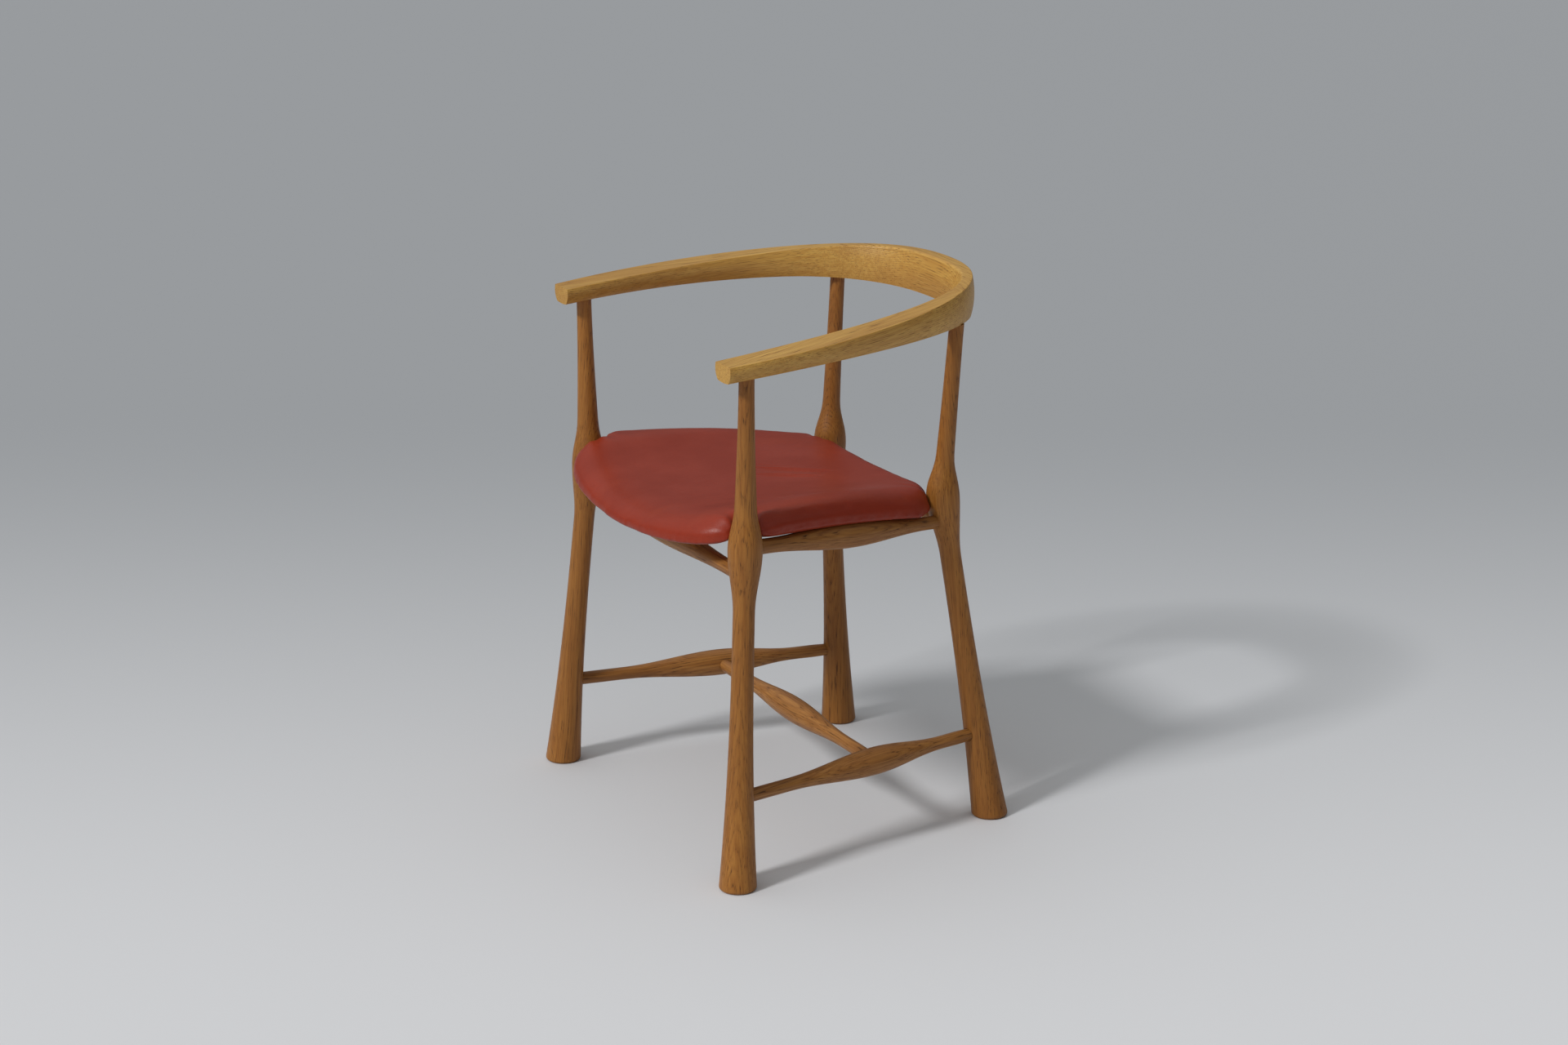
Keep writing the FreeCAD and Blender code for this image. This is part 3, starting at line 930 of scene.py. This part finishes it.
    def fullness(self, spot: Vector, back: float, room: Point) -> tuple[float, float]:
        """Works out how full the pad is at a place, above and below.

        Args:
            spot: Place in plan.
            back: The same place from the front edge, 0, to the rear edge, 1.
            room: Distances to the side, the front edge and the rear edge.

        Returns:
            Shares of the full height above the underside, and of the full depth of the underside.
        """
        side, front, rear = room
        side_roll = blend(self.side_roll[0], self.side_roll[1], ease(back * self.roll_change))
        front_roll = self.front_roll * blend(self.corner_roll, 1.0, ease(side / side_roll))
        bevel = 1 - (1 - held(side / side_roll)) ** self.side_bevel
        top = blend(rounded(side / side_roll), bevel, self.bevel_share)
        top *= rounded(front / front_roll) * rounded(rear / self.rear_roll)
        low = rounded(min(room) / self.low_roll)
        gaps = [step.length - self.notch for step in self.from_knees(spot)]
        for gap in gaps:
            top *= blend(self.knee_share, 1.0, rounded(gap / self.knee_roll))
        low = min(low, rounded(gaps[0] / self.knee_lift))
        return self.edge_share + (1 - self.edge_share) * top, low

    def levels(self, spot: Vector, across: float, back: float, room: Point) -> tuple[float, float]:
        """Works out the heights of the pad's top and underside at a place.

        Args:
            spot: Place in plan.
            across: The same place across the seat, from -1 to 1.
            back: The same place from the front edge, 0, to the rear edge, 1.
            room: Distances to the side, the front edge and the rear edge.

        Returns:
            The two heights in metres.
        """
        full, deep = self.fullness(spot, back, room)
        base = self.height(self.low_z, across, back)
        thick = self.height(self.top_z, across, back) - base
        opened = self.window_depth * ease((min(room) - self.window) / self.voxel)
        lifted = thick * self.edge_share * self.low_lift * (1 - deep)
        return base + thick * full, base + lifted + opened

    def slab(self, name: str) -> bpy.types.Object:
        """Builds the closed form of the pad before it swells.

        Args:
            name: Name of the pad.

        Returns:
            The new object.
        """
        mesh = bmesh.new()
        top: list[list[bmesh.types.BMVert]] = []
        base: list[list[bmesh.types.BMVert]] = []
        for column in range(self.columns + 1):
            across = math.sin(math.pi * (column / self.columns - 0.5))
            front, rear = self.edges(across)
            radius_mid = (front + rear) / 2
            angle = across * (self.half_angle - self.start_inset / radius_mid)
            side = self.half_angle * radius_mid * (1 - abs(across))
            top.append([])
            base.append([])
            for row in range(self.rows + 1):
                back = 0.5 - 0.5 * math.cos(math.pi * row / self.rows)
                radius = blend(front - self.start_inset, rear + self.start_inset, back)
                room = (side, front - self.start_inset - radius, radius - rear - self.start_inset)
                spot = Vector((radius * math.sin(angle), self.fan_y - radius * math.cos(angle), 0.0))
                spot = self.cleared(spot)
                high, low = self.levels(spot, across, back, room)
                top[-1].append(mesh.verts.new((spot.x, spot.y, high)))
                base[-1].append(mesh.verts.new((spot.x, spot.y, low)))
        for sheet in (top, base):
            for line, following in zip(sheet, sheet[1:]):
                for row in range(self.rows):
                    mesh.faces.new((line[row], line[row + 1], following[row + 1], following[row]))
        for column in range(self.columns):
            for row in (0, self.rows):
                mesh.faces.new((top[column][row], top[column + 1][row],
                                base[column + 1][row], base[column][row]))
        for row in range(self.rows):
            for column in (0, self.columns):
                mesh.faces.new((top[column][row], top[column][row + 1],
                                base[column][row + 1], base[column][row]))
        bmesh.ops.recalc_face_normals(mesh, faces=mesh.faces)
        data = bpy.data.meshes.new(name)
        mesh.to_mesh(data)
        mesh.free()
        return link(name, data)

    def smooth(self, pad: bpy.types.Object, times: int) -> None:
        """Adds a softening of the pad's skin.

        Args:
            pad: Pad to soften.
            times: Number of rounds.
        """
        soft = pad.modifiers.new("soft", "SMOOTH")
        soft.factor = 0.5
        soft.iterations = times

    def remesh(self, pad: bpy.types.Object) -> None:
        """Rebuilds the pad's skin with even faces and softens its edges.

        Args:
            pad: Pad to rebuild.
        """
        step = pad.modifiers.new("even", "REMESH")
        step.mode = "VOXEL"
        step.voxel_size = self.voxel
        self.smooth(pad, self.first_softening)
        apply_modifiers(pad)

    def inflate(self, pad: bpy.types.Object) -> None:
        """Swells the pad as cloth under a little pressure, and holds each point near its place.

        Args:
            pad: Pad to swell.
        """
        rest = [vertex.co.copy() for vertex in pad.data.vertices]
        facing = [vertex.normal.copy() for vertex in pad.data.vertices]
        cloth = pad.modifiers.new("cloth", "CLOTH")
        cloth.settings.use_pressure = True
        cloth.settings.uniform_pressure_force = self.pressure
        cloth.settings.effector_weights.gravity = 0.0
        cloth.settings.quality = 5
        scene = bpy.context.scene
        for frame in range(1, self.frames + 1):
            scene.frame_set(frame)
        apply_modifiers(pad)
        scene.frame_set(1)
        for vertex, start, normal in zip(pad.data.vertices, rest, facing):
            most = self.swell if normal.z > self.under_facing else self.swell * self.under_swell
            step = vertex.co - start
            if step.length > most:
                vertex.co = start + step * (most / step.length)

    def refine(self, pad: bpy.types.Object) -> None:
        """Halves the pad's faces and evens its skin.

        Args:
            pad: Pad to refine.
        """
        step = pad.modifiers.new("fine", "SUBSURF")
        step.levels = 1
        step.render_levels = 1
        self.smooth(pad, self.last_softening)
        apply_modifiers(pad)

    def press(self, pad: bpy.types.Object, nodes: dict[str, bpy.types.Object]) -> None:
        """Presses the pad's skin back where it meets the rails below it and the legs beside it.

        Args:
            pad: Pad to press.
            nodes: Solids of the frame.
        """
        up = Vector((0.0, 0.0, self.knee_lift))
        for name, oak in nodes.items():
            if not name.endswith(("_rail", "_leg")) or name == "back_rail":
                continue
            low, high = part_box(name)
            tree = BVHTree.FromPolygons([vertex.co for vertex in oak.data.vertices],
                                        [face.vertices for face in oak.data.polygons])
            for vertex in pad.data.vertices:
                inside = (a - self.wood_gap < b < c + self.wood_gap for a, b, c in zip(low, vertex.co, high))
                if not all(inside):
                    continue
                near, normal, _, gap = tree.find_nearest(vertex.co, self.knee_lift)
                if near is None or ((vertex.co - near).dot(normal) > 0 and gap > self.wood_gap):
                    continue
                if name.endswith("_leg"):
                    vertex.co = near + normal * self.wood_gap
                    continue
                above = tree.ray_cast(vertex.co + up, -up)[0]
                if above is not None and above.z > vertex.co.z:
                    vertex.co.z = above.z + self.wood_gap

    def fold(self, flat: Vector, start: Vector, end: Vector, depth: float) -> float:
        """Works out how deep a stretch crease is at a place.

        Args:
            flat: Place in plan.
            start: One end of the crease.
            end: Its other end.
            depth: Depth in its middle.

        Returns:
            The depth at the place.
        """
        along = (end - start).normalized()
        share = (flat - start).dot(along) / (end - start).length
        if not 0 < share < 1:
            return 0.0
        off = ((flat - start).cross(along).z + self.crease_bend * math.sin(5 * share)) / self.crease_width
        return depth * (math.exp(-off ** 2) - 0.5 * math.exp(-(off - 2) ** 2)) * math.sin(math.pi * share)

    def crease(self, pad: bpy.types.Object) -> None:
        """Presses stretch creases into the middle of the leather and small pleats round the knees.

        Args:
            pad: Pad to crease.
        """
        lines = [(Vector(start), Vector(end), depth) for start, end, depth in self.creases]
        facing = [vertex.normal.z for vertex in pad.data.vertices]
        for vertex, upward in zip(pad.data.vertices, facing):
            if upward < self.crease_facing:
                continue
            flat = Vector((vertex.co.x, vertex.co.y, 0.0))
            for start, end, depth in lines:
                vertex.co.z -= self.fold(flat, start, end, depth)
            for step in self.from_knees(flat):
                turn = math.atan2(step.y, step.x * math.copysign(1.0, flat.x))
                fade = math.exp(-max(0.0, step.length - self.notch) / self.pleat_reach)
                vertex.co.z += self.pleat * fade * math.sin(self.pleat_count * turn)

    def build(self, nodes: dict[str, bpy.types.Object]) -> bpy.types.Object:
        """Builds, swells and dresses the pad.

        Args:
            nodes: Solids of the frame.

        Returns:
            The finished pad.
        """
        pad = self.slab("leather_seat")
        self.remesh(pad)
        LOG.info("skin of the pad done")
        self.inflate(pad)
        LOG.info("swelling of the pad done")
        self.refine(pad)
        self.crease(pad)
        self.press(pad, nodes)
        for face in pad.data.polygons:
            face.use_smooth = True
        Finish.LEATHER.value.on(pad)
        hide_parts("seat_cover", "seat_padding")
        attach(pad, "root")
        LOG.info("built leather_seat with %d faces", len(pad.data.polygons))
        return pad


@dataclass
class Studio:
    """Pale floor, soft light and the camera.

    Attributes:
        eye: Place of the camera.
        yaw: Turn of the camera about the upright axis, in degrees.
        pitch: How far it looks down, in degrees.
        lens: Focal length in millimetres on a 36 mm sensor.
        key_place: Where the light of the lamp comes from.
        key_power: Strength of the lamp.
        key_breadth: How broad the lamp looks, in degrees.
        bright_side: Direction of the brighter half of the surround.
        side_levels: Brightness of its darker and brighter halves against the whole.
        wall_level: Brightness of the surround level with the floor.
        ceiling_level: Brightness of the surround overhead.
        floor_reach: Half of the floor's length.
    """

    eye: Point = (3.7524, -2.0837, 1.7480)
    yaw: float = VIEW_YAW
    pitch: float = 17.699
    lens: float = 79.115
    key_place: Point = (0.7, -4.6, 4.1)
    key_power: float = 1.7
    key_breadth: float = 9.0
    bright_side: Point = (-0.485, -0.874, 0.0)
    side_levels: tuple[float, float] = (0.35, 1.65)
    wall_level: float = 0.04
    ceiling_level: float = 0.69
    floor_reach: float = 30.0

    def floor(self) -> None:
        """Lays the floor."""
        mesh = bmesh.new()
        bmesh.ops.create_grid(mesh, x_segments=8, y_segments=8, size=self.floor_reach)
        data = bpy.data.meshes.new("floor")
        mesh.to_mesh(data)
        mesh.free()
        made = link("floor", data)
        Finish.FLOOR.value.on(made)

    def lamp(self) -> None:
        """Places one broad lamp far off on the left."""
        data = bpy.data.lights.new("key", "SUN")
        data.energy = self.key_power
        data.angle = math.radians(self.key_breadth)
        made = bpy.data.objects.new("key", data)
        made.location = self.key_place
        made.rotation_euler = (-Vector(self.key_place)).to_track_quat("-Z", "Y").to_euler()
        bpy.context.scene.collection.objects.link(made)

    def surround(self) -> None:
        """Lights the scene all round, mostly from overhead and from the bright side."""
        world = bpy.data.worlds.new("studio")
        world.use_nodes = True
        graph = Graph(world.node_tree)
        ground = world.node_tree.nodes["Background"]
        way = graph.add("ShaderNodeTexCoord").outputs["Generated"]
        rise = graph.add("ShaderNodeSeparateXYZ", {0: way}).outputs[2]
        side = graph.vectors("DOT_PRODUCT", way, self.bright_side).outputs["Value"]
        darker, brighter = self.side_levels
        level = graph.add("ShaderNodeMapRange", {
            "Value": rise, "To Min": self.wall_level, "To Max": self.ceiling_level})
        share = graph.add("ShaderNodeMapRange", {
            "Value": side, "From Min": -1.0, "To Min": darker, "To Max": brighter})
        strength = graph.math("MULTIPLY", level.outputs[0], share.outputs[0])
        graph.feed(ground.inputs["Color"], screen_colour(251, 254, 255))
        graph.feed(ground.inputs["Strength"], strength)
        bpy.context.scene.world = world

    def camera(self) -> None:
        """Places the camera at the photographed angle."""
        data = bpy.data.cameras.new("camera")
        data.sensor_width = 36.0
        data.sensor_fit = "HORIZONTAL"
        data.lens = self.lens
        data.clip_end = 100.0
        made = bpy.data.objects.new("camera", data)
        made.location = self.eye
        made.rotation_euler = (math.radians(90 - self.pitch), 0.0, math.radians(self.yaw))
        bpy.context.scene.collection.objects.link(made)
        bpy.context.scene.camera = made

    def build(self) -> None:
        """Builds the floor, the light and the camera."""
        self.floor()
        self.lamp()
        self.surround()
        self.camera()
        bpy.context.scene.view_settings.view_transform = "Standard"
        LOG.info("built studio")


def main() -> None:
    """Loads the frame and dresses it."""
    logging.basicConfig(level=logging.INFO, format="%(name)s %(relativeCreated)d ms: %(message)s")
    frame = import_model()
    Studio().build()
    OakFrame(frame["nodes"]).dress_all()
    SeatPad().build(frame["nodes"])
    LOG.info("wrote both boxes")


if __name__ == "__main__":
    main()
